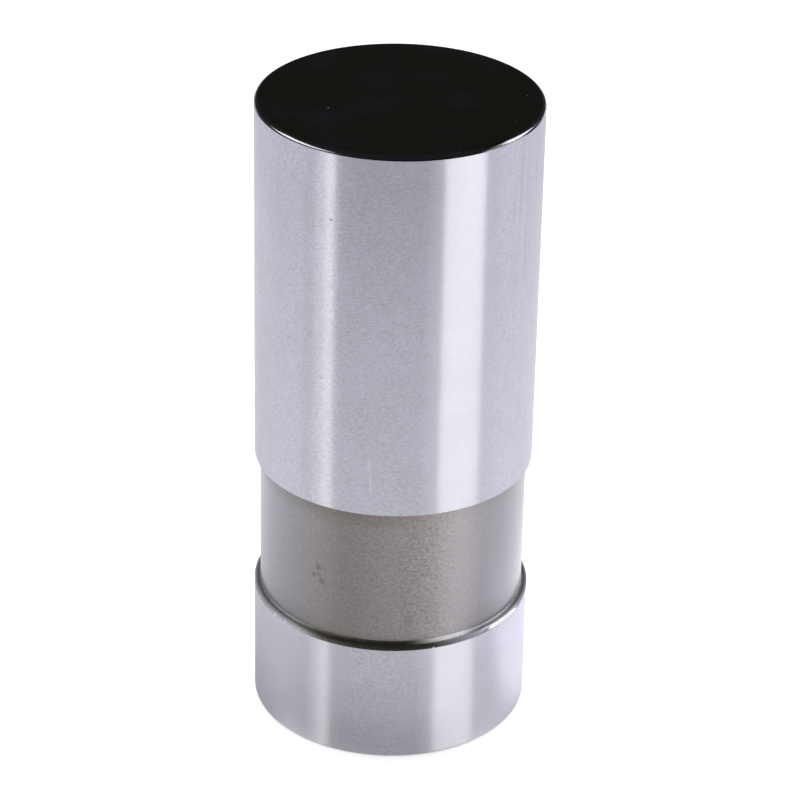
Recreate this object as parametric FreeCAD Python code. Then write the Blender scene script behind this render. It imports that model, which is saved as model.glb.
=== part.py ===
import FreeCAD, Part
import math
import os

# Hydraulic flat tappet valve lifter, standing on its open end with the cam face up.
# The frame has its origin on the axis in the plane of the open rim, and +Z runs up to the cam face.
# Lengths are in millimetres.

# Lifter body, outside
body_diameter = 21.39
body_length = 50.7
foot_crown_radius = 1270.0
foot_rim_round = 0.3
open_edge_round = 0.25
low_land_length = 10.1
low_land_edge_round = 0.1
band_width = 11.36
band_depth = 0.45
band_fillet = 0.2
long_land_edge_round = 0.08
feed_hole_diameter = 2.4

# Lifter body, inside
bore_diameter = 16.6
foot_thickness = 5.6
bore_lead_in = 0.5
hone_relief_depth = 0.2
hone_relief_length = 4.4
bore_end_fillet = 0.9

# Retaining ring in its groove
ring_wire_diameter = 1.2
ring_inset = 2.4
ring_groove_depth = 0.65
ring_groove_clearance = 0.05
ring_gap_degrees = 38.0
ring_end_round = 0.2

# Pushrod seat
seat_clearance = 0.1
seat_height = 5.2
seat_edge_chamfer = 0.25
seat_ring_gap = 0.03
socket_radius = 4.05
socket_depth = 3.4
socket_lip_width = 1.2
socket_lip_drop = 0.45
seat_oil_hole_diameter = 1.6
spigot_diameter = 11.3
spigot_height = 1.3
spigot_dish_diameter = 5.0
spigot_dish_depth = 0.5

# Metering disc
disc_thickness = 0.4
disc_clearance = 0.15
disc_float = 0.3
disc_orifice_diameter = 1.0
disc_gap = 0.02

# Plunger
plunger_travel = 4.3
plunger_clearance = 0.03
plunger_edge_chamfer = 0.3
spigot_clearance = 0.1
reservoir_diameter = 10.2
reservoir_end_fillet = 0.8
valve_wall = 3.5
annulus_depth = 0.4
annulus_margin = 0.25
cross_hole_diameter = 2.0
valve_hole_diameter = 2.4
valve_seat_width = 0.55
plunger_rim_width = 1.05
plunger_rim_height = 1.0

# Check ball, its cage and its spring
ball_diameter = 3.97
ball_gap = 0.02
ball_lift = 0.4
cage_sheet = 0.4
cage_pocket_clearance = 0.55
cage_flange_clearance = 0.1
cage_headroom = 1.05
cage_bend = 0.2
cage_button_diameter = 1.3
cage_windows = 4
cage_window_width = 1.5
cage_window_height = 1.7
ball_spring_wire = 0.2
ball_spring_foot_radius = 1.25
ball_spring_top_radius = 1.9
ball_spring_turns = 3.5
ball_spring_ground = 0.05

# Plunger spring
spring_length = 11.6
spring_wire = 1.25
spring_clearance = 0.12
spring_turns = 5.6
spring_closed_turns = 1.0
spring_ground = 0.25

POINTS_PER_TURN = 12
TINY = 1e-4
ORIGIN = FreeCAD.Vector(0, 0, 0)
AXIS = FreeCAD.Vector(0, 0, 1)

# Radii and heights that follow from the sizes above
body_radius = body_diameter / 2
band_radius = body_radius - band_depth
band_top = low_land_length + band_width
feed_hole_height = low_land_length + band_width / 2
bore_radius = bore_diameter / 2
bore_end = body_length - foot_thickness

ring_wire_radius = ring_wire_diameter / 2
ring_groove_radius = bore_radius + ring_groove_depth
ring_radius = ring_groove_radius - ring_groove_clearance - ring_wire_radius

seat_radius = bore_radius - seat_clearance
seat_contact_radius = seat_radius - seat_edge_chamfer
ring_top_at_seat = ring_inset + math.sqrt(ring_wire_radius ** 2 - (ring_radius - seat_contact_radius) ** 2)
seat_face = ring_top_at_seat + seat_ring_gap
plunger_start = seat_face + seat_height
spigot_radius = spigot_diameter / 2
spigot_end = plunger_start + spigot_height

disc_start = spigot_end + disc_gap
disc_ledge = disc_start + disc_thickness + disc_float + disc_gap

plunger_radius = bore_radius - plunger_clearance
valve_face = bore_end - spring_length - cage_sheet
plunger_rim_radius = plunger_radius - plunger_rim_width
annulus_start = feed_hole_height - feed_hole_diameter / 2 - plunger_travel - annulus_margin
annulus_end = feed_hole_height + feed_hole_diameter / 2 + annulus_margin

ball_radius = ball_diameter / 2
valve_seat_mouth = valve_hole_diameter / 2 + valve_seat_width
HALF_RIGHT_ANGLE = math.radians(45)
ball_touch_radius = ball_radius * math.sin(HALF_RIGHT_ANGLE)
ball_touch_height = valve_face - (valve_seat_mouth - ball_touch_radius)
ball_centre = ball_touch_height + ball_radius * math.cos(HALF_RIGHT_ANGLE) + ball_gap
ball_top = ball_centre + ball_radius
cage_pocket_radius = ball_radius + cage_pocket_clearance
cage_crown = ball_top + cage_headroom
spring_seat = valve_face + cage_sheet


def at(radius, height):
    return FreeCAD.Vector(radius, 0, height)


def lathe(start, *steps):
    """Solid turned about the axis. A step is a corner (radius, height), or a pair of them: a point
    that an arc passes through and the corner where it ends."""
    edges = []
    here = at(*start)
    for step in steps + (start,):
        if isinstance(step[0], tuple):
            there = at(*step[1])
            edges.append(Part.Arc(here, at(*step[0]), there).toShape())
        else:
            there = at(*step)
            edges.append(Part.LineSegment(here, there).toShape())
        here = there
    return Part.Face(Part.Wire(edges)).revolve(ORIGIN, AXIS, 360)


def disc(radius, bottom, top):
    return Part.makeCylinder(radius, top - bottom, at(0, bottom), AXIS)


def circles(shape):
    return [edge for edge in shape.Edges if not edge.Degenerated and isinstance(edge.Curve, Part.Circle)]


def ring_edges(shape, radius, height):
    """Circular edges of that radius at that height."""
    return [
        edge
        for edge in circles(shape)
        if abs(edge.Curve.Radius - radius) < TINY
        and abs(edge.Curve.Center.z - height) < TINY
        and abs(edge.Curve.Axis.z) > 1 - TINY
    ]


def rounded(shape, size, *rings):
    edges = [edge for radius, height in rings for edge in ring_edges(shape, radius, height)]
    return shape.makeFillet(size, edges)


def chamfered(shape, size, *rings):
    edges = [edge for radius, height in rings for edge in ring_edges(shape, radius, height)]
    return shape.makeChamfer(size, edges)


def radial_hole(radius, height, degrees, reach):
    direction = FreeCAD.Vector(math.cos(math.radians(degrees)), math.sin(math.radians(degrees)), 0)
    return Part.makeCylinder(radius, reach, at(0, height), direction)


def coil(wire_diameter, radii, heights, turns, closed_turns, ground):
    """Compression spring with closed, ground ends. The wire's centre runs between the two heights
    and from the first radius to the second, and a slice of each end is ground off flat."""
    wire_radius = wire_diameter / 2
    bottom = heights[0] - ground + wire_radius
    top = heights[1] + ground - wire_radius
    steps = int(turns * POINTS_PER_TURN)
    rates = []
    for step in range(steps):
        turn = (step + 0.5) * turns / steps
        from_end = min(turn, turns - turn) - closed_turns / 2
        rates.append(min(max(from_end / (closed_turns / 2 + 0.5), 0.0), 1.0))
    closed_rise = wire_diameter * turns / steps
    open_rise = (top - bottom - closed_rise * steps) / sum(rates)
    points = []
    height = bottom
    for step in range(steps + 1):
        angle = 2 * math.pi * step * turns / steps
        radius = radii[0] + (radii[1] - radii[0]) * step / steps
        points.append(FreeCAD.Vector(radius * math.cos(angle), radius * math.sin(angle), height))
        if step < steps:
            height += closed_rise + open_rise * rates[step]
    path = Part.BSplineCurve()
    path.interpolate(points)
    start, ahead = path.value(path.FirstParameter), path.tangent(path.FirstParameter)[0]
    section = Part.Wire(Part.Circle(start, ahead, wire_radius).toShape())
    wound = Part.Wire(path.toShape()).makePipeShell([section], True, True)
    reach = max(radii) + wire_diameter
    return wound.common(disc(reach, heights[0], heights[1]))


def lifter_body():
    """One turned and ground cup: two ground lands with the oil band between them, and the crowned foot."""
    crown_drop = foot_crown_radius - math.sqrt(foot_crown_radius ** 2 - body_radius ** 2)
    half = body_radius / 2
    half_drop = foot_crown_radius - math.sqrt(foot_crown_radius ** 2 - half ** 2)
    groove_low = ring_inset - ring_wire_radius - ring_groove_clearance
    groove_high = ring_inset + ring_wire_radius + ring_groove_clearance
    relief_start = bore_end - hone_relief_length
    relief_radius = bore_radius + hone_relief_depth
    rim = body_length - crown_drop
    body = lathe(
        (bore_radius + bore_lead_in, 0),
        (body_radius, 0),
        (body_radius, low_land_length),
        (band_radius, low_land_length),
        (band_radius, band_top),
        (body_radius, band_top),
        (body_radius, rim),
        ((half, body_length - half_drop), (0, body_length)),
        (0, bore_end),
        (relief_radius, bore_end),
        (relief_radius, relief_start),
        (bore_radius, relief_start - hone_relief_depth),
        (bore_radius, groove_high),
        (ring_groove_radius, groove_high),
        (ring_groove_radius, groove_low),
        (bore_radius, groove_low),
        (bore_radius, bore_lead_in),
    )
    body = rounded(body, foot_rim_round, (body_radius, rim))
    body = rounded(body, open_edge_round, (body_radius, 0))
    body = rounded(body, low_land_edge_round, (body_radius, low_land_length))
    body = rounded(body, long_land_edge_round, (body_radius, band_top))
    body = rounded(body, band_fillet, (band_radius, low_land_length), (band_radius, band_top))
    body = rounded(body, bore_end_fillet, (relief_radius, bore_end))
    return body.cut(radial_hole(feed_hole_diameter / 2, feed_hole_height, 90, body_radius))


def retaining_ring():
    """Round-wire snap ring, open on one side."""
    sweep = 360 - ring_gap_degrees
    ring = Part.makeTorus(ring_radius, ring_wire_radius, at(0, ring_inset), AXIS, 0, 360, sweep)
    ends = [
        edge
        for edge in circles(ring)
        if abs(edge.Curve.Radius - ring_wire_radius) < TINY
        and abs(edge.Curve.Axis.z) < TINY
    ]
    ring = ring.makeFillet(ring_end_round, ends)
    ring.rotate(ORIGIN, AXIS, 90 + ring_gap_degrees / 2)
    return ring


def pushrod_seat():
    """Hardened cup for the pushrod's ball, with a spigot that centres it in the plunger."""
    lip_radius = socket_radius + socket_lip_width
    seat = lathe(
        (0, seat_face),
        (seat_radius, seat_face),
        (seat_radius, plunger_start),
        (spigot_radius, plunger_start),
        (spigot_radius, spigot_end),
        (0, spigot_end),
    )
    seat = chamfered(seat, seat_edge_chamfer, (seat_radius, seat_face), (seat_radius, plunger_start))
    seat = chamfered(seat, seat_edge_chamfer, (spigot_radius, spigot_end))
    socket = Part.makeSphere(socket_radius, at(0, seat_face + socket_depth - socket_radius))
    lip = lathe(
        (0, seat_face - socket_lip_drop),
        (lip_radius + socket_lip_width, seat_face - socket_lip_drop),
        (lip_radius, seat_face),
        (0, seat_face + socket_lip_drop * lip_radius / socket_lip_width),
    )
    dish = disc(spigot_dish_diameter / 2, spigot_end - spigot_dish_depth, spigot_end)
    oil_hole = disc(seat_oil_hole_diameter / 2, seat_face, spigot_end)
    return seat.cut([socket, lip, dish, oil_hole])


def metering_disc():
    """Thin floating disc between the seat's spigot and the plunger's ledge."""
    radius = spigot_radius + spigot_clearance - disc_clearance
    plate = disc(radius, disc_start, disc_start + disc_thickness)
    return plate.cut(disc(disc_orifice_diameter / 2, disc_start, disc_start + disc_thickness))


def plunger():
    """Hollow piston: oil reservoir, feed annulus and cross hole, and the ball's valve seat."""
    counterbore_radius = spigot_radius + spigot_clearance
    reservoir_radius = reservoir_diameter / 2
    annulus_radius = plunger_radius - annulus_depth
    reservoir_end = valve_face - valve_wall
    valve_hole_radius = valve_hole_diameter / 2
    rim_top = valve_face + plunger_rim_height
    piston = lathe(
        (counterbore_radius, plunger_start),
        (plunger_radius, plunger_start),
        (plunger_radius, annulus_start),
        (annulus_radius, annulus_start + annulus_depth),
        (annulus_radius, annulus_end - annulus_depth),
        (plunger_radius, annulus_end),
        (plunger_radius, rim_top),
        (plunger_rim_radius, rim_top),
        (plunger_rim_radius, valve_face),
        (valve_seat_mouth, valve_face),
        (valve_hole_radius, valve_face - valve_seat_width),
        (valve_hole_radius, reservoir_end),
        (reservoir_radius, reservoir_end),
        (reservoir_radius, disc_ledge),
        (counterbore_radius, disc_ledge),
    )
    piston = chamfered(piston, plunger_edge_chamfer, (plunger_radius, plunger_start), (plunger_radius, rim_top))
    piston = rounded(piston, reservoir_end_fillet, (reservoir_radius, reservoir_end))
    hole_height = (annulus_start + annulus_end) / 2
    return piston.cut(radial_hole(cross_hole_diameter / 2, hole_height, 0, plunger_radius))


def check_ball():
    return Part.makeSphere(ball_radius, at(0, ball_centre))


def check_ball_cage():
    """Pressed sheet hat over the ball: flange, windowed pocket, and a button that stops the ball."""
    flange_radius = plunger_rim_radius - cage_flange_clearance
    outer_radius = cage_pocket_radius + cage_sheet
    outer_crown = cage_crown + cage_sheet
    button_radius = cage_button_diameter / 2
    button_tip = ball_top + ball_lift + ball_gap
    hat = lathe(
        (flange_radius, valve_face),
        (flange_radius, spring_seat),
        (outer_radius, spring_seat),
        (outer_radius, outer_crown),
        (button_radius, outer_crown),
        (0, button_tip + cage_sheet),
        (0, button_tip),
        (button_radius, cage_crown),
        (cage_pocket_radius, cage_crown),
        (cage_pocket_radius, valve_face),
    )
    hat = rounded(hat, cage_bend, (outer_radius, spring_seat), (cage_pocket_radius, cage_crown))
    hat = rounded(hat, cage_bend + cage_sheet / 2, (outer_radius, outer_crown))
    middle = (spring_seat + cage_crown) / 2
    window = Part.makeBox(
        outer_radius,
        cage_window_width,
        cage_window_height,
        FreeCAD.Vector(cage_pocket_radius / 2, -cage_window_width / 2, middle - cage_window_height / 2),
    )
    windows = []
    for place in range(cage_windows):
        opening = window.copy()
        opening.rotate(ORIGIN, AXIS, 360 * (place + 0.5) / cage_windows)
        windows.append(opening)
    return hat.cut(windows)


def check_ball_spring():
    """Small conical spring from the ball's crown to the cage."""
    wire_radius = ball_spring_wire / 2
    rise = math.sqrt((ball_radius + wire_radius + ball_gap) ** 2 - ball_spring_foot_radius ** 2)
    bottom = ball_centre + rise - wire_radius + ball_spring_ground
    radii = (ball_spring_foot_radius, ball_spring_top_radius)
    return coil(ball_spring_wire, radii, (bottom, cage_crown), ball_spring_turns, 0.5, ball_spring_ground)


def plunger_spring():
    """Return spring between the cage's flange and the foot."""
    radius = plunger_rim_radius - spring_clearance - spring_wire / 2
    heights = (spring_seat, bore_end)
    return coil(spring_wire, (radius, radius), heights, spring_turns, spring_closed_turns, spring_ground)


PIECES = (
    lifter_body,
    retaining_ring,
    pushrod_seat,
    metering_disc,
    plunger,
    check_ball,
    check_ball_cage,
    check_ball_spring,
    plunger_spring,
)

os.makedirs("parts", exist_ok=True)
for piece in PIECES:
    shape = piece()
    shape.exportStep(f"parts/{piece.__name__}.step")
    print(f"{piece.__name__}: {len(shape.Solids)} solid, {shape.Volume:.2f} mm3, valid {shape.isValid()}")
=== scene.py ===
import math

import bmesh
import bpy
from mathutils import Matrix, Vector

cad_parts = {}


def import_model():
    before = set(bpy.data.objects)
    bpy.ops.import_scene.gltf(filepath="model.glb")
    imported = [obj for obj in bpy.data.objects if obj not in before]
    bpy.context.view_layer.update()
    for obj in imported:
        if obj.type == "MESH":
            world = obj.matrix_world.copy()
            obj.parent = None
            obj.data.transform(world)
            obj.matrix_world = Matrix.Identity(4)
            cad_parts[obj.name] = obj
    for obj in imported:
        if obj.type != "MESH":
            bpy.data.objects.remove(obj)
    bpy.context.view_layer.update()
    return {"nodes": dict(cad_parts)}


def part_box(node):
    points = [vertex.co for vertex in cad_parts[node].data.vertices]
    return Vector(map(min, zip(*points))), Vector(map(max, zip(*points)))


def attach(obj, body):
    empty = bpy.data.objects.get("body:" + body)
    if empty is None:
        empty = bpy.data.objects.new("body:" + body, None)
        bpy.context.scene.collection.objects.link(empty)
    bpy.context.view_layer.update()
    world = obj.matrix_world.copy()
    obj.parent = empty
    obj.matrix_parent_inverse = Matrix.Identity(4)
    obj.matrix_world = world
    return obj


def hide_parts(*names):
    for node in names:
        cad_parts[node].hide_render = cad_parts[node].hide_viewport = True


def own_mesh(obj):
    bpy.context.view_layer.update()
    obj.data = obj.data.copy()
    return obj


MM = 0.001

# Camera, fitted to the outline in the photograph: back and up in radii of the lifter, its base in
# metres, its angles in radians, and its sensor and focal length in millimetres
CAMERA_BACK = 20.771
CAMERA_UP = 13.5505
CAMERA_BASE = 0.03 * MM
CAMERA_PITCH = 0.49297
CAMERA_YAW = 0.00199
CAMERA_ROLL = 0.02129
SENSOR_WIDTH = 36.0
FOCAL_LENGTH = 148.215

# Outside of the cup, in millimetres
FOOT_CROWN = 0.045
FOOT_RIM_ROUND = 0.3
OPEN_EDGE_ROUND = 0.25
LOW_LAND_LENGTH = 10.1
LOW_EDGE_ROUND = 0.1
BAND_TOP = 21.46
TOP_EDGE_ROUND = 0.08
BAND_DEPTH = 0.45
BAND_FILLET = 0.2
GROUND_FROM = 9.69
FEED_HOLE_RADIUS = 1.2
FEED_HOLE_HEIGHT = 15.78

# Inside of the cup, in millimetres
BORE_RADIUS = 8.3
BORE_END = 45.1
BORE_LEAD_IN = 0.5
RELIEF_DEPTH = 0.2
RELIEF_LENGTH = 4.4
BORE_END_FILLET = 0.9
RING_INSET = 2.4
RING_GROOVE_RADIUS = 8.95
RING_GROOVE_HALF_WIDTH = 0.65

# Marks: degrees round from the camera's side, height and size in millimetres
PIT = ((-26.4, 45.2, 0.11),)
SCRATCH_START = (-9.7, 26.1)
SCRATCH_END = (-8.4, 23.5)
SCRATCH_MARKS = 14
SCRATCH_SIZE = 0.15
BAND_STAINS = (
    (-32.2, 15.8, 0.34),
    (-34.6, 15.0, 0.3),
    (-30.6, 14.6, 0.34),
    (-32.2, 15.2, 0.22),
)
LIP_CHIPS = (
    (-72.0, 9.75, 0.14),
    (-56.0, 9.8, 0.17),
    (-52.0, 9.72, 0.1),
    (-49.0, 9.75, 0.14),
    (18.4, 9.72, 0.1),
)

# Dust on the cam face: places across and back, and size, in millimetres
DUST = (
    (-5.2, -2.2, 0.1),
    (4.25, -8.4, 0.06),
    (9.3, 0.9, 0.08),
    (8.4, -3.9, 0.06),
    (-6.9, -0.2, 0.05),
)

# Springs, in millimetres
PLUNGER_SPRING = {
    "wire": 1.25,
    "radii": (6.475, 6.475),
    "turns": 5.6,
    "closed": 1.0,
    "ground": 0.25,
}
BALL_SPRING = {
    "wire": 0.2,
    "radii": (1.25, 1.9),
    "turns": 3.5,
    "closed": 0.5,
    "ground": 0.05,
}
OPENING_TURNS = 0.5
WIRE_SIDES = 20
STEPS_PER_TURN = 48

# Fineness of the meshes. A support ring keeps the shading of a round off the face beside it.
SEGMENTS = 288
ARC_STEPS = 10
CROWN_STEPS = 12
HOLE_SEGMENTS = 96
HOLE_CUT_LENGTH = 8
SUPPORT = 0.02
ON_AXIS = 1e-9
SHARP_DEGREES = 35
SPRING_SHARP_DEGREES = 40

# Tints of the greys
COOL = (0.98, 0.975, 1.09)
WARM = (1.06, 0.99, 0.97)
BROWN = (1.09, 0.99, 0.98)
OLIVE = (1.06, 1.0, 0.8)
LILAC = (0.93, 0.93, 1.08)

# Heights in the upper land between which its tone changes, in millimetres
LAND_MIDDLE = 37
LAND_TOP = 48

# Studio, in metres
FLOOR_HALF = 3.0
LAMP_DISTANCE = 0.6
CLIP_START = 0.01
CLIP_END = 20

# The world is white in directions whose z is below the first value, and dark above the second
WORLD_WHITE = 0.13
WORLD_DARK = 0.20

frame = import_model()
body_low, body_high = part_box("lifter_body")
RADIUS = (body_high.x - body_low.x) / 2 / MM
LENGTH = body_high.z / MM


def link(obj):
    bpy.context.scene.collection.objects.link(obj)
    return obj


def arc(centre, radius, start, end):
    """Points of an arc in the (radius, height) plane, angles in degrees."""
    points = []
    for step in range(ARC_STEPS + 1):
        angle = math.radians(start + (end - start) * step / ARC_STEPS)
        points.append((centre[0] + radius * math.cos(angle), centre[1] + radius * math.sin(angle)))
    return points


def crown():
    """Cam face from the rim round to the axis."""
    flat_edge = RADIUS - FOOT_RIM_ROUND
    points = []
    for step in range(1, CROWN_STEPS + 1):
        radius = flat_edge * (1 - step / CROWN_STEPS)
        drop = FOOT_CROWN * (radius / RADIUS) ** 2
        points.append((radius, LENGTH - drop))
    return points


def outer_profile():
    """Zones of the outside, from the open edge up to the middle of the cam face."""
    band_radius = RADIUS - BAND_DEPTH
    rim = LENGTH - FOOT_CROWN
    open_centre = (RADIUS - OPEN_EDGE_ROUND, OPEN_EDGE_ROUND)
    low_round = (RADIUS - LOW_EDGE_ROUND, LOW_LAND_LENGTH - LOW_EDGE_ROUND)
    low_fillet = (band_radius + BAND_FILLET, LOW_LAND_LENGTH + BAND_FILLET)
    top_fillet = (band_radius + BAND_FILLET, BAND_TOP - BAND_FILLET)
    top_round = (RADIUS - TOP_EDGE_ROUND, BAND_TOP + TOP_EDGE_ROUND)
    rim_centre = (RADIUS - FOOT_RIM_ROUND, rim - FOOT_RIM_ROUND)
    return [
        ("ground", arc(open_centre, OPEN_EDGE_ROUND, -90, 0)),
        ("ground", [(RADIUS, OPEN_EDGE_ROUND + SUPPORT), (RADIUS, GROUND_FROM)]),
        ("lip", [(RADIUS, low_round[1] - SUPPORT)]),
        ("lip", arc(low_round, LOW_EDGE_ROUND, 0, 90)),
        ("lip", [(low_fillet[0] + SUPPORT, LOW_LAND_LENGTH)]),
        ("lip", arc(low_fillet, BAND_FILLET, 270, 180)),
        ("band", [(band_radius, low_fillet[1] + SUPPORT), (band_radius, top_fillet[1] - SUPPORT)]),
        ("band", arc(top_fillet, BAND_FILLET, 180, 90)),
        ("band", arc(top_round, TOP_EDGE_ROUND, 270, 360)),
        ("ground", [(RADIUS, top_round[1] + SUPPORT), (RADIUS, rim_centre[1] - SUPPORT)]),
        ("rim", arc(rim_centre, FOOT_RIM_ROUND, 0, 90)),
        ("foot", crown()),
    ]


def inner_profile():
    """Zones of the inside, from the middle of the bore's end down to the open rim."""
    relief_radius = BORE_RADIUS + RELIEF_DEPTH
    relief_start = BORE_END - RELIEF_LENGTH
    end_centre = (relief_radius - BORE_END_FILLET, BORE_END - BORE_END_FILLET)
    groove_high = RING_INSET + RING_GROOVE_HALF_WIDTH
    groove_low = RING_INSET - RING_GROOVE_HALF_WIDTH
    return [
        ("bore", [(0, BORE_END), (end_centre[0] - SUPPORT, BORE_END)]),
        ("bore", arc(end_centre, BORE_END_FILLET, 90, 0)),
        ("bore", [(relief_radius, relief_start), (BORE_RADIUS, relief_start - RELIEF_DEPTH)]),
        ("bore", [(BORE_RADIUS, groove_high), (RING_GROOVE_RADIUS, groove_high)]),
        ("bore", [(RING_GROOVE_RADIUS, groove_low), (BORE_RADIUS, groove_low)]),
        ("bore", [(BORE_RADIUS, BORE_LEAD_IN), (BORE_RADIUS + BORE_LEAD_IN, 0)]),
    ]


def lathe(name, zones, slots):
    """Mesh turned about the axis. Each face takes the material of the zone of its second ring."""
    mesh = bpy.data.meshes.new(name)
    bm = bmesh.new()
    rings = []
    for zone, points in zones:
        for radius, height in points:
            if radius < ON_AXIS:
                rings.append((zone, [bm.verts.new((0, 0, height * MM))]))
                continue
            ring = []
            for place in range(SEGMENTS):
                angle = 2 * math.pi * place / SEGMENTS
                x, y = radius * math.cos(angle), radius * math.sin(angle)
                ring.append(bm.verts.new((x * MM, y * MM, height * MM)))
            rings.append((zone, ring))
    pairs = list(zip(rings, rings[1:]))
    if len(rings[0][1]) > 1 and len(rings[-1][1]) > 1:
        pairs.append((rings[-1], rings[0]))
    for (_, lower), (zone, upper) in pairs:
        for place in range(SEGMENTS):
            after = (place + 1) % SEGMENTS
            if len(upper) == 1 and len(lower) == 1:
                break
            if len(upper) == 1:
                corners = (lower[place], lower[after], upper[0])
            elif len(lower) == 1:
                corners = (lower[0], upper[after], upper[place])
            else:
                corners = (lower[place], lower[after], upper[after], upper[place])
            bm.faces.new(corners).material_index = slots.index(zone)
    bmesh.ops.recalc_face_normals(bm, faces=bm.faces)
    bm.to_mesh(mesh)
    bm.free()
    return mesh


def smooth(mesh, degrees=SHARP_DEGREES):
    mesh.shade_smooth()
    mesh.set_sharp_from_angle(angle=math.radians(degrees))


def radial_cutter():
    """Round bar through the back of the band, for the oil feed hole."""
    bm = bmesh.new()
    turn = Matrix.Rotation(math.radians(90), 4, "X")
    place = Matrix.Translation((0, RADIUS * MM, FEED_HOLE_HEIGHT * MM))
    bmesh.ops.create_cone(
        bm,
        cap_ends=True,
        segments=HOLE_SEGMENTS,
        radius1=FEED_HOLE_RADIUS * MM,
        radius2=FEED_HOLE_RADIUS * MM,
        depth=HOLE_CUT_LENGTH * MM,
        matrix=place @ turn,
    )
    mesh = bpy.data.meshes.new("feed_hole_cutter")
    bm.to_mesh(mesh)
    bm.free()
    return link(bpy.data.objects.new("feed_hole_cutter", mesh))


def cup_shell(materials):
    """The lifter's body, turned, with the oil feed hole cut in it."""
    slots = ["ground", "lip", "band", "rim", "foot", "bore"]
    mesh = lathe("cup_shell", outer_profile() + inner_profile(), slots)
    for slot in slots:
        mesh.materials.append(materials[slot])
    cup = link(bpy.data.objects.new("cup_shell", mesh))
    cutter = radial_cutter()
    cutter.data.materials.append(materials["bore"])
    cut = cup.modifiers.new("feed_hole", "BOOLEAN")
    cut.operation = "DIFFERENCE"
    cut.solver = "EXACT"
    cut.object = cutter
    cut.material_mode = "TRANSFER"
    result = cup.evaluated_get(bpy.context.evaluated_depsgraph_get())
    applied = bpy.data.meshes.new_from_object(result)
    cup.modifiers.clear()
    cup.data = applied
    bpy.data.objects.remove(cutter)
    smooth(cup.data)
    return cup


def coil_path(spec, bottom, top):
    """Centre line of a closed-end spring between two heights, in millimetres. Its pitch opens from
    the middle of each closed end on, and is full OPENING_TURNS past that end."""
    half = spec["wire"] / 2
    start, end = bottom - spec["ground"] + half, top + spec["ground"] - half
    steps = int(spec["turns"] * STEPS_PER_TURN)
    rates = []
    for step in range(steps):
        turn = (step + 0.5) * spec["turns"] / steps
        from_end = min(turn, spec["turns"] - turn) - spec["closed"] / 2
        rates.append(min(max(from_end / (spec["closed"] / 2 + OPENING_TURNS), 0.0), 1.0))
    closed_rise = spec["wire"] * spec["turns"] / steps
    open_rise = (end - start - closed_rise * steps) / sum(rates)
    points = []
    height = start
    for step in range(steps + 1):
        angle = 2 * math.pi * step * spec["turns"] / steps
        radius = spec["radii"][0] + (spec["radii"][1] - spec["radii"][0]) * step / steps
        points.append(Vector((radius * math.cos(angle), radius * math.sin(angle), height)))
        if step < steps:
            height += closed_rise + open_rise * rates[step]
    return points


def spring(name, spec, bottom, top, material):
    """Round wire wound on its path, with both ends ground off flat."""
    path = coil_path(spec, bottom, top)
    bm = bmesh.new()
    rings = []
    for index, point in enumerate(path):
        before, after = path[max(index - 1, 0)], path[min(index + 1, len(path) - 1)]
        along = (after - before).normalized()
        outward = Vector((point.x, point.y, 0)).normalized()
        upward = along.cross(outward).normalized()
        ring = []
        for side in range(WIRE_SIDES):
            angle = 2 * math.pi * side / WIRE_SIDES
            offset = (outward * math.cos(angle) + upward * math.sin(angle)) * spec["wire"] / 2
            place = point + offset
            place.z = min(max(place.z, bottom), top)
            ring.append(bm.verts.new(place * MM))
        rings.append(ring)
    for lower, upper in zip(rings, rings[1:]):
        for side in range(WIRE_SIDES):
            after = (side + 1) % WIRE_SIDES
            bm.faces.new((lower[side], lower[after], upper[after], upper[side]))
    bm.faces.new(rings[0])
    bm.faces.new(reversed(rings[-1]))
    bmesh.ops.recalc_face_normals(bm, faces=bm.faces)
    mesh = bpy.data.meshes.new(name)
    bm.to_mesh(mesh)
    bm.free()
    mesh.materials.append(material)
    smooth(mesh, SPRING_SHARP_DEGREES)
    return link(bpy.data.objects.new(name, mesh))


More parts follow.
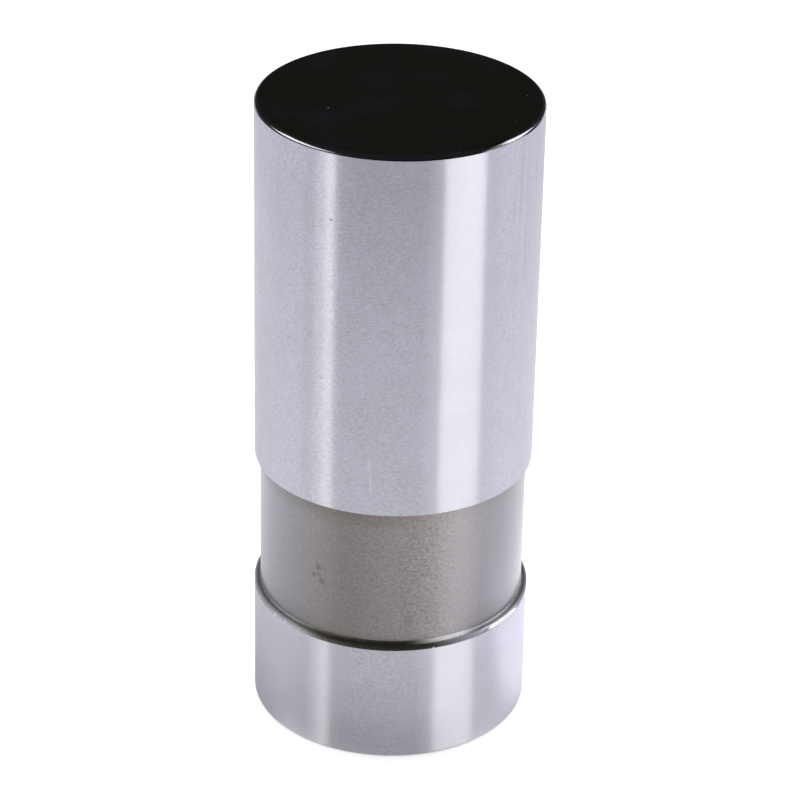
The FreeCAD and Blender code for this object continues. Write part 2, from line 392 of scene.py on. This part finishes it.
class Nodes:
    """A material's node tree, with short calls for the nodes used here."""

    def __init__(self, name):
        self.material = bpy.data.materials.new(name)
        self.material.use_nodes = True
        self.tree = self.material.node_tree
        self.shader = self.tree.nodes["Principled BSDF"]
        self.output = self.tree.nodes["Material Output"]

    def add(self, kind, inputs=None, **settings):
        node = self.tree.nodes.new(kind)
        for key, value in settings.items():
            setattr(node, key, value)
        for key, value in (inputs or {}).items():
            self.feed(node.inputs[key], value)
        return node

    def feed(self, socket, value):
        if isinstance(value, bpy.types.NodeSocket):
            self.tree.links.new(value, socket)
        else:
            socket.default_value = value

    def point(self, scale=(1.0, 1.0, 1.0)):
        """Object coordinates in millimetres, stretched by the three scales."""
        coordinates = self.add("ShaderNodeTexCoord").outputs["Object"]
        mapping = self.add("ShaderNodeMapping", {"Vector": coordinates})
        mapping.inputs["Scale"].default_value = [value / MM for value in scale]
        return mapping.outputs["Vector"]

    def split(self, vector):
        return self.add("ShaderNodeSeparateXYZ", {0: vector}).outputs

    def vector(self, operation, first, second=None, output="Vector"):
        inputs = {0: first} if second is None else {0: first, 1: second}
        return self.add("ShaderNodeVectorMath", inputs, operation=operation).outputs[output]

    def scale(self, vector, amount):
        node = self.add("ShaderNodeVectorMath", {0: vector, 3: amount}, operation="SCALE")
        return node.outputs["Vector"]

    def noise(self, scale, detail=3.0, roughness=0.6):
        """Noise from 0 to 1. The scales are features per millimetre along x, y and z."""
        vector = self.point(scale)
        inputs = {"Vector": vector, "Scale": 1.0, "Detail": detail, "Roughness": roughness}
        return self.add("ShaderNodeTexNoise", inputs).outputs["Fac"]

    def spread(self, value, low, high, start=0.3, stop=0.7, smooth_steps=False):
        kind = "SMOOTHSTEP" if smooth_steps else "LINEAR"
        inputs = {"Value": value, "From Min": start, "From Max": stop, "To Min": low, "To Max": high}
        return self.add("ShaderNodeMapRange", inputs, interpolation_type=kind).outputs["Result"]

    def rise(self, value, start=0.3, stop=0.7, smooth_steps=False):
        return self.spread(value, 0.0, 1.0, start, stop, smooth_steps)

    def fall(self, value, start=0.3, stop=0.7, smooth_steps=False):
        return self.spread(value, 1.0, 0.0, start, stop, smooth_steps)

    def between(self, value, start, full, leave, end):
        """1 from full to leave, and 0 before start and after end."""
        return self.times(self.rise(value, start, full), self.fall(value, leave, end))

    def mix(self, factor, first, second):
        """Mixes two colours, inputs 6 and 7 of the node, into its output 2."""
        node = self.add("ShaderNodeMix", data_type="RGBA")
        self.feed(node.inputs[0], factor)
        self.feed(node.inputs[6], first)
        self.feed(node.inputs[7], second)
        return node.outputs[2]

    def maths(self, operation, first, second=0.0):
        node = self.add("ShaderNodeMath", operation=operation)
        self.feed(node.inputs[0], first)
        self.feed(node.inputs[1], second)
        return node.outputs[0]

    def plus(self, first, second):
        return self.maths("ADD", first, second)

    def minus(self, first, second):
        return self.maths("SUBTRACT", first, second)

    def most(self, first, *others):
        for value in others:
            first = self.maths("MAXIMUM", first, value)
        return first

    def times(self, first, *others):
        for value in others:
            first = self.maths("MULTIPLY", first, value)
        return first

    def paint_light_tint(self, tone, mask, colour):
        """The tone, multiplied by a colour where the mask is 1."""
        return self.vector("MULTIPLY", tone, self.mix(mask, grey(1.0), colour))

    def glow(self, colour):
        return self.add("ShaderNodeEmission", {"Color": colour}).outputs[0]

    def blend(self, factor, first, second):
        """Mixes two shaders."""
        return self.add("ShaderNodeMixShader", {0: factor, 1: first, 2: second}).outputs[0]

    def bump(self, height, strength, distance, **inputs):
        inputs.update({"Height": height, "Strength": strength, "Distance": distance * MM})
        return self.add("ShaderNodeBump", inputs).outputs["Normal"]

    def spots(self, places):
        """Mask of small round marks, from their centres and sizes."""
        place = self.point()
        marks = 0.0
        for centre, size in places:
            away = self.vector("DISTANCE", place, centre, "Value")
            marks = self.most(marks, self.fall(away, size * 0.4, size))
        return marks

    def set(self, **sockets):
        for name, value in sockets.items():
            self.feed(self.shader.inputs[name.replace("_", " ")], value)

    def grind(self, amount):
        """Grinding marks run round the axis, so highlights stretch along it."""
        tangent = self.add("ShaderNodeTangent", direction_type="RADIAL", axis="Z").outputs["Tangent"]
        self.set(Anisotropic=amount, Anisotropic_Rotation=0.25, Tangent=tangent)


def grey(value, tint=(1.0, 1.0, 1.0)):
    return (value * tint[0], value * tint[1], value * tint[2], 1.0)


def around(marks, radius):
    """Centres and sizes of marks on the side, given by their angle, height and size."""
    spots = []
    for degrees, height, size in marks:
        turn = math.radians(degrees)
        spots.append(((radius * math.sin(turn), -radius * math.cos(turn), height), size))
    return spots


def along_scratch():
    """Marks that run into one thin line, from the scratch's start to its end."""
    marks = []
    for step in range(SCRATCH_MARKS):
        share = step / (SCRATCH_MARKS - 1)
        degrees, height = (a + (b - a) * share for a, b in zip(SCRATCH_START, SCRATCH_END))
        marks.append((degrees, height, SCRATCH_SIZE))
    return marks


def ground_steel():
    """Ground steel with a fine speckle, faint clouds, a scratch, a pit and painted light and shade."""
    nodes = Nodes("ground_steel")
    speckle = nodes.noise((3.4, 3.4, 7.5), 5.0, 0.8)
    clouds = nodes.noise((0.35, 0.35, 0.25), 3.0)
    shade = nodes.noise((0.2, 0.2, 0.3), 3.0)
    across, _, height = nodes.split(nodes.point())
    aside = nodes.maths("ABSOLUTE", across)

    # The speckle is fainter in the right strip, and on both sides of the lower land
    clean = nodes.spread(across, 0.95, 1.0, -6.5, -4.0)
    clean = nodes.times(clean, nodes.spread(across, 1.0, 0.25, 1.6, 3.2))
    clean = nodes.most(clean, nodes.spread(across, 0.0, 0.8, 6.0, 7.5))
    calm = nodes.times(nodes.spread(aside, 0.0, 0.75, 2.8, 3.8), nodes.fall(height, 9, 12))
    clean = nodes.times(clean, nodes.minus(1.0, calm))
    grain = nodes.times(nodes.spread(speckle, -0.6, 0.6), clean)

    tone = nodes.mix(nodes.plus(grain, 0.5), grey(0.375, COOL), grey(0.62, COOL))
    tone = nodes.mix(nodes.spread(clouds, 0.0, 0.25), tone, grey(0.57, (1.0, 0.96, 1.10)))
    tone = nodes.mix(nodes.spread(shade, 0.0, 0.2), tone, grey(0.40, (1.03, 0.97, 1.03)))

    # Painted light and shade: brighter downward and at the top of the left side, and darker at the top
    # of the middle. It is darker too in streaks at the top of the right side
    painted_light_and_streaks = nodes.spread(height, 1.2, 1.0, 0, LAND_MIDDLE)
    painted_light_and_streaks = nodes.plus(painted_light_and_streaks, nodes.spread(height, 0.1, 0.0, 0, 14))
    painted_light_and_streaks = nodes.minus(painted_light_and_streaks, nodes.spread(height, 0.0, 0.03, LAND_MIDDLE, LAND_TOP))
    middle = nodes.spread(aside, 0.1, 0.0, 2.0, 6.0, True)
    painted_light_and_streaks = nodes.minus(painted_light_and_streaks, nodes.times(middle, nodes.rise(height, LAND_MIDDLE, LAND_TOP)))
    streaks = nodes.spread(nodes.noise((2.2, 2.2, 0.07), 2.0), 0.0, 0.09, 0.45, 0.6)
    streaks = nodes.times(streaks, nodes.rise(across, 7.8, 8.8), nodes.rise(height, 36, 42))
    painted_light_and_streaks = nodes.minus(painted_light_and_streaks, streaks)
    left = nodes.spread(across, 0.17, 0.0, -10.4, -8.4)
    painted_light_and_streaks = nodes.plus(painted_light_and_streaks, nodes.times(left, nodes.rise(height, 30, 42)))

    scratch = nodes.times(nodes.spots(around(along_scratch(), RADIUS)), 0.2)
    tone = nodes.mix(scratch, tone, grey(0.9))
    tone = nodes.mix(nodes.spots(around(PIT, RADIUS)), nodes.scale(tone, painted_light_and_streaks), grey(0.1))
    lines = nodes.noise((0.6, 0.6, 30.0), 2.0)
    relief = nodes.times(nodes.plus(nodes.times(lines, 0.5), speckle), clean)
    nodes.set(Base_Color=tone, Metallic=1.0, Roughness=0.28)
    nodes.set(Normal=nodes.bump(relief, 0.08, 0.003))
    nodes.grind(1.0)
    return nodes.material


def band_steel():
    """Matt turned steel, brown with a little staining in front, and lilac towards its sides from a
    painted reflection. Painted shade darkens it just under the upper land and at its sides just above
    the lower land, and painted light makes its right half paler."""
    nodes = Nodes("band_steel")
    speckle = nodes.noise((4.0, 4.0, 6.0), 4.0, 0.75)
    clouds = nodes.noise((0.5, 0.5, 0.4), 3.0)
    across, _, height = nodes.split(nodes.point())
    side = nodes.spread(nodes.maths("ABSOLUTE", across), 0.0, 0.5, 3.5, 8.0, True)
    from_brown = nodes.maths("ABSOLUTE", nodes.plus(across, 3.9))
    brown = nodes.spread(from_brown, 0.5, 0.0, 0.0, 4.5, True)

    tone = nodes.mix(nodes.rise(speckle), grey(0.12, BROWN), grey(0.36, BROWN))
    tone = nodes.mix(nodes.spread(clouds, 0.0, 0.3), tone, grey(0.20, (1.12, 1.0, 0.95)))
    tone = nodes.mix(brown, tone, grey(0.12, (1.10, 1.0, 0.92)))
    # Painted lilac reflection towards the sides
    tone = nodes.mix(side, tone, grey(0.28, (0.98, 0.98, 1.14)))

    # Painted light on the right half: paler from near the middle on, then a little darker, and palest
    # at the limb
    right = nodes.spread(across, 0.0, 0.4, 2.8, 5.2, True)
    tone = nodes.mix(right, tone, grey(0.325, (1.03, 0.98, 1.10)))
    darker = nodes.spread(across, 0.0, 0.12, 5.6, 7.2, True)
    tone = nodes.mix(darker, tone, grey(0.10, WARM))
    limb = nodes.spread(across, 0.0, 0.3, 8.2, 10.0, True)
    tone = nodes.mix(limb, tone, grey(0.45, (0.98, 0.98, 1.10)))

    # Painted lilac reflection at the top of the left limb
    left = nodes.times(nodes.fall(across, -9.9, -8.2), nodes.rise(height, 12.5, 14.5))
    tone = nodes.paint_light_tint(tone, left, grey(1.0, (1.0, 1.0, 1.18)))
    # Painted shadow just under the upper land, stronger on the left
    high = nodes.rise(height, BAND_TOP - 1.6, BAND_TOP - 0.5)
    high = nodes.times(high, nodes.spread(across, 1.0, 0.25, -2.0, 3.0))
    tone = nodes.paint_light_tint(tone, high, grey(0.77, (1.0, 0.99, 0.91)))
    # Painted shade at the sides just above the lower land
    low = nodes.fall(height, LOW_LAND_LENGTH, LOW_LAND_LENGTH + 2.4)
    tone = nodes.scale(tone, nodes.minus(1.0, nodes.times(low, side, 0.5)))
    spots = nodes.spots(around(BAND_STAINS, RADIUS - BAND_DEPTH))
    tone = nodes.mix(nodes.times(spots, 0.55), tone, grey(0.07))

    nodes.set(Base_Color=tone, Metallic=1.0, Roughness=nodes.spread(speckle, 0.38, 0.46))
    nodes.set(Normal=nodes.bump(speckle, 0.5, 0.01))
    nodes.set(Coat_Weight=1.0, Coat_Roughness=0.3)
    nodes.grind(0.6)
    return nodes.material


def lip_steel():
    """Worn edge of the lower land, with the hollow behind it. It shades as if it rolled over from the
    land's side and then up to the band. It is dark in front, matt and pale with painted light at its
    sides, and near white with a painted highlight in a stretch of the hollow; painted shade greys the
    hollow further right. A polished streak on its right shades as if it rolled less."""
    nodes = Nodes("lip_steel")
    place = nodes.point()
    across, _, height = nodes.split(place)
    flat = nodes.vector("MULTIPLY", place, (1.0, 1.0, 0.0))
    outward = nodes.vector("NORMALIZE", flat)

    # Grows from the land's side over the edge and on into the hollow
    along = nodes.minus(height, nodes.vector("LENGTH", flat, output="Value"))
    edge = LOW_LAND_LENGTH - RADIUS
    end = edge + BAND_DEPTH + BAND_FILLET
    streak = nodes.times(
        nodes.between(across, 6.9, 8.1, 9.2, 10.0),
        nodes.between(along, edge - 0.4, edge - 0.26, edge - 0.1, edge + 0.04),
    )

    turned = nodes.maths("POWER", nodes.rise(along, GROUND_FROM - RADIUS, edge + 0.1), 2.0)
    roll = nodes.spread(turned, 0.75, math.pi / 2, 0.0, 1.0)
    roll = nodes.times(roll, nodes.spread(streak, 1.0, 0.3, 0.0, 1.0))
    angle = nodes.minus(roll, nodes.spread(along, 0.0, 0.85, edge + 0.2, end))
    upward = nodes.add("ShaderNodeCombineXYZ", {2: nodes.maths("SINE", angle)}).outputs[0]
    lean = nodes.vector("ADD", nodes.scale(outward, nodes.maths("COSINE", angle)), upward)
    turn = {"vector_type": "NORMAL", "convert_from": "OBJECT", "convert_to": "WORLD"}
    normal = nodes.add("ShaderNodeVectorTransform", {0: lean}, **turn).outputs[0]

    # Masks of painted light: pale matt sides, a painted highlight in a stretch of the hollow, and
    # painted shade in the hollow further right
    left = nodes.fall(across, -8.0, -4.6, True)
    right = nodes.rise(across, 2.4, 6.0, True)
    hollow = nodes.rise(along, edge + 0.1, edge + 0.25)
    sides = nodes.times(nodes.plus(left, right), nodes.spread(hollow, 1.0, 0.35, 0.0, 1.0))
    bright = nodes.times(hollow, nodes.rise(across, 1.0, 4.6, True), nodes.fall(across, 5.6, 7.0))
    inner = nodes.times(nodes.rise(along, edge + 0.12, edge + 0.3), nodes.rise(across, 6.0, 7.0))
    chips = nodes.spots(around(LIP_CHIPS, RADIUS))

    grain = nodes.noise((4.0, 4.0, 8.0), 3.0)
    tone = nodes.mix(nodes.rise(grain), grey(0.10, OLIVE), grey(0.17, OLIVE))
    tone = nodes.mix(sides, tone, nodes.mix(nodes.rise(grain), grey(0.42, COOL), grey(0.60, COOL)))
    tone = nodes.mix(inner, tone, grey(0.24, COOL))
    tone = nodes.mix(bright, tone, grey(0.95, (0.98, 0.98, 1.04)))
    tone = nodes.mix(streak, tone, grey(0.74))
    tone = nodes.mix(chips, tone, grey(0.95))

    dull = nodes.most(nodes.times(sides, 0.6), nodes.times(bright, 0.85), nodes.times(inner, 0.6))
    dull = nodes.times(dull, nodes.minus(1.0, streak))
    metal = nodes.minus(1.0, nodes.most(dull, chips))
    roughness = nodes.spread(right, 0.5, 0.25, 0.0, 1.0)
    nodes.set(Base_Color=tone, Metallic=metal, Roughness=roughness)
    nodes.set(Normal=nodes.bump(grain, 0.4, 0.008, Normal=normal))
    return nodes.material


def rim_steel():
    """Polished rim of the cam face. It shades as if its lower edge leaned upward a little too. Painted
    shade darkens its lower edge, and its right as far as its highlight; on the right, painted light
    makes the lower edge a pale line."""
    nodes = Nodes("rim_steel")
    roughness = nodes.spread(nodes.noise((3.0, 3.0, 3.0), 2.0), 0.14, 0.20)
    normal = nodes.add("ShaderNodeNewGeometry").outputs["Normal"]
    lean = nodes.vector("NORMALIZE", nodes.vector("ADD", normal, (0.0, 0.0, 0.5)))
    across, _, height = nodes.split(nodes.point())
    low = LENGTH - FOOT_CROWN - FOOT_RIM_ROUND
    # Painted shade along the lower edge and on the right before the highlight, and a painted pale line
    # at the lower edge on the right
    below = nodes.fall(height, low + 0.06, low + 0.09)
    pale = nodes.times(nodes.between(across, 5.6, 6.4, 8.8, 9.3), below)
    painted_dark = nodes.between(across, 4.6, 6.2, 7.1, 7.8)
    tone = nodes.mix(below, nodes.mix(painted_dark, grey(0.32, COOL), grey(0.09)), grey(0.05))
    tone = nodes.mix(pale, tone, grey(0.42, COOL))
    metal = nodes.spread(pale, 1.0, 0.15, 0.0, 1.0)
    nodes.set(Base_Color=tone, Metallic=metal, Roughness=roughness, Normal=lean)
    return nodes.material


def foot_black():
    """Glossy black with a faint blue haze and a little bright dust."""
    nodes = Nodes("foot_black")
    haze = nodes.rise(nodes.noise((0.16, 0.16, 0.16), 3.0), 0.45, 0.7, True)
    tone = nodes.mix(haze, grey(0.0048, (1.04, 1.04, 0.72)), grey(0.0075, (0.86, 1.0, 1.25)))
    dust = nodes.spots([((x, y, LENGTH), size) for x, y, size in DUST])
    roughness = nodes.spread(nodes.noise((1.5, 1.5, 1.5), 3.0), 0.06, 0.07)
    nodes.set(Base_Color=nodes.mix(dust, tone, grey(0.16)), Metallic=0.0, Roughness=roughness)
    nodes.shader.inputs["Specular IOR Level"].default_value = 0.25
    return nodes.material


def turned_steel(name, tone, roughness, anisotropy=0.6, tint=(1.0, 1.0, 1.0)):
    """Plain machined steel for the bore and the pieces inside."""
    nodes = Nodes(name)
    grain = nodes.noise((2.5, 2.5, 9.0), 3.0)
    colour = nodes.mix(nodes.rise(grain), grey(tone * 0.88, tint), grey(tone * 1.1, tint))
    rough = nodes.spread(grain, roughness * 0.85, roughness * 1.15)
    nodes.set(Base_Color=colour, Metallic=1.0, Roughness=rough)
    nodes.set(Normal=nodes.bump(grain, 0.3, 0.005))
    if anisotropy:
        nodes.grind(anisotropy)
    return nodes.material


def floor():
    """White paper. To the camera and in reflections it is a little brighter than its own shade, and
    far from the lifter it is plain white. Reflections see it darker close in front of the lifter,
    apart from a narrow ring, and brighter on the right."""
    mesh = bpy.data.meshes.new("floor")
    bm = bmesh.new()
    bmesh.ops.create_grid(bm, x_segments=1, y_segments=1, size=FLOOR_HALF)
    bm.to_mesh(mesh)
    bm.free()
    surface = link(bpy.data.objects.new("floor", mesh))
    nodes = Nodes("floor_paper")
    nodes.set(Base_Color=grey(0.90), Roughness=0.9)
    nodes.shader.inputs["Specular IOR Level"].default_value = 0.0
    paper = nodes.shader.outputs[0]
    place = nodes.point()
    x, y, _ = nodes.split(place)
    away = nodes.vector("LENGTH", place, output="Value")
    path = nodes.add("ShaderNodeLightPath").outputs

    right = nodes.times(nodes.rise(x, 8, 14), nodes.rise(y, -6.0, -1.0))
    mirrored = nodes.mix(nodes.rise(away, 16, 50), grey(0.0), grey(0.25, LILAC))
    ring = nodes.times(nodes.fall(away, 10.8, 12.5), nodes.fall(y, -8, -5))
    mirrored = nodes.mix(ring, mirrored, grey(0.45))
    bright = nodes.times(right, nodes.fall(away, 24, 40))
    mirrored = nodes.mix(bright, mirrored, grey(0.6, (0.93, 0.95, 1.08)))
    near = nodes.glow(nodes.mix(path["Is Camera Ray"], mirrored, grey(0.4)))
    near = nodes.add("ShaderNodeAddShader", {0: paper, 1: near}).outputs[0]

    beside = nodes.plus(nodes.spread(x, 0.0, 0.8, 5, 9), nodes.spread(x, 0.3, 0.0, -9, -5))
    shade = nodes.times(nodes.spread(y, 1.0, 0.5, -10, -4), nodes.spread(away, 0.42, 0.0, 11, 26))
    shade = nodes.times(shade, nodes.minus(1.0, beside), nodes.minus(path["Is Glossy Ray"], right))
    near = nodes.blend(shade, near, nodes.glow(grey(0.0)))

    distant = nodes.glow(nodes.mix(path["Is Camera Ray"], grey(0.6, LILAC), grey(1.0)))
    seen = nodes.blend(nodes.rise(away, 50, 300, True), near, distant)
    watched = nodes.most(path["Is Camera Ray"], path["Is Glossy Ray"], path["Is Transmission Ray"])
    nodes.feed(nodes.output.inputs["Surface"], nodes.blend(watched, paper, seen))
    mesh.materials.append(nodes.material)


def softbox(name, azimuth, elevation, spans, radiance, colour=(1, 1, 1), mirrored=True):
    """Area lamp aimed at the lifter. Azimuth is from the camera's side, positive to the right, and
    the spans are the angles that it fills across and up. A lamp that isn't mirrored stays out of
    reflections."""
    lamp = bpy.data.lights.new(name, "AREA")
    lamp.shape = "RECTANGLE"
    halves = (math.radians(span / 2) for span in spans)
    lamp.size, lamp.size_y = (2 * LAMP_DISTANCE * math.tan(half) for half in halves)
    lamp.energy = radiance * math.pi * lamp.size * lamp.size_y
    lamp.color = colour
    holder = link(bpy.data.objects.new(name, lamp))
    turn, lift = math.radians(azimuth), math.radians(elevation)
    level = math.cos(lift)
    away = Vector((math.sin(turn) * level, -math.cos(turn) * level, math.sin(lift)))
    target = Vector((0, 0, LENGTH * MM / 2))
    holder.location = target + away * LAMP_DISTANCE
    holder.rotation_mode = "QUATERNION"
    holder.rotation_quaternion = away.to_track_quat("Z", "Y")
    holder.visible_camera = False
    holder.visible_glossy = mirrored


def world():
    """White round the horizon and nearly dark above."""
    scene_world = bpy.data.worlds.new("studio")
    scene_world.use_nodes = True
    bpy.context.scene.world = scene_world
    tree = scene_world.node_tree
    background = tree.nodes["Background"]
    coordinates = tree.nodes.new("ShaderNodeTexCoord")
    split = tree.nodes.new("ShaderNodeSeparateXYZ")
    ramp = tree.nodes.new("ShaderNodeValToRGB")
    tree.links.new(coordinates.outputs["Generated"], split.inputs[0])
    tree.links.new(split.outputs["Z"], ramp.inputs["Fac"])
    tree.links.new(ramp.outputs["Color"], background.inputs["Color"])
    stops = ramp.color_ramp.elements
    stops[0].position, stops[0].color = WORLD_WHITE, grey(1.0)
    stops[1].position, stops[1].color = WORLD_DARK, grey(0.03)


def camera():
    """The photograph's camera."""
    data = bpy.data.cameras.new("camera")
    data.sensor_width = SENSOR_WIDTH
    data.lens = FOCAL_LENGTH
    eye = link(bpy.data.objects.new("camera", data))
    pitch, yaw, roll = CAMERA_PITCH, CAMERA_YAW, CAMERA_ROLL
    ahead = math.cos(pitch)
    forward = Vector((math.sin(yaw) * ahead, math.cos(yaw) * ahead, -math.sin(pitch)))
    level = Vector((math.cos(yaw), -math.sin(yaw), 0))
    above = level.cross(forward)
    right = level * math.cos(roll) + above * math.sin(roll)
    up = above * math.cos(roll) - level * math.sin(roll)
    place = Matrix((right, up, -forward)).transposed().to_4x4()
    place.translation = Vector((0, -CAMERA_BACK, CAMERA_UP)) * RADIUS * MM
    place.translation += Vector((0, 0, CAMERA_BASE))
    eye.matrix_world = place
    data.clip_start, data.clip_end = CLIP_START, CLIP_END
    bpy.context.scene.camera = eye


def dress():
    """Materials for every piece, and finer meshes for the cup and the springs."""
    materials = {
        "ground": ground_steel(),
        "lip": lip_steel(),
        "band": band_steel(),
        "rim": rim_steel(),
        "foot": foot_black(),
        "bore": turned_steel("bore_steel", 0.48, 0.35),
    }
    cup = cup_shell(materials)
    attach(cup, "cup")
    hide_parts("lifter_body")

    finishes = {
        "retaining_ring": turned_steel("ring_wire", 0.20, 0.30, 0.0, WARM),
        "pushrod_seat": turned_steel("hardened_seat", 0.42, 0.30, 0.5, WARM),
        "metering_disc": turned_steel("disc_steel", 0.50, 0.35, 0.0),
        "plunger": turned_steel("plunger_steel", 0.55, 0.25, 0.8),
        "check_ball": turned_steel("ball_steel", 0.70, 0.06, 0.0),
        "check_ball_cage": turned_steel("pressed_sheet", 0.45, 0.38, 0.0, WARM),
    }
    for node, material in finishes.items():
        piece = frame["nodes"][node]
        piece.data.materials.clear()
        piece.data.materials.append(material)

    low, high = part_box("plunger_spring")
    bottom, top = low.z / MM, high.z / MM
    wire = turned_steel("spring_wire", 0.28, 0.32, 0.0, WARM)
    coil = spring("plunger_coil", PLUNGER_SPRING, bottom, top, wire)
    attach(coil, "cup")
    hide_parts("plunger_spring")
    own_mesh(coil)

    low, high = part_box("check_ball_spring")
    bottom, top = low.z / MM, high.z / MM
    wire = turned_steel("fine_wire", 0.42, 0.28, 0.0)
    coil = spring("check_ball_coil", BALL_SPRING, bottom, top, wire)
    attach(coil, "plunger_unit")
    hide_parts("check_ball_spring")
    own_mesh(coil)


dress()
floor()
world()
camera()
softbox("left_strip", -51.8, 6, (8.6, 16), 6.8, (1, 1, 0.88))
softbox("left_shoulder", -60, 6, (8, 16), 2.6, (1, 1, 0.9))
softbox("right_strip", 51.6, 3.5, (33.8, 13), 10.1, (1, 1, 0.94))
softbox("right_edge", 28.5, 4, (10, 14), 1.2)
softbox("left_wall", -93, 41, (46, 20), 3.1)
softbox("right_wall", 119, 41, (30, 20), 3.6)
softbox("left_low", -100, 6, (50, 14), 0.9, (0.96, 0.97, 1.1))
softbox("right_low", 110, 4, (80, 10), 3.2, (0.96, 0.97, 1.1))
softbox("overhead", 180, 85, (50, 50), 2.8, mirrored=False)

bpy.context.scene.view_settings.view_transform = "Standard"
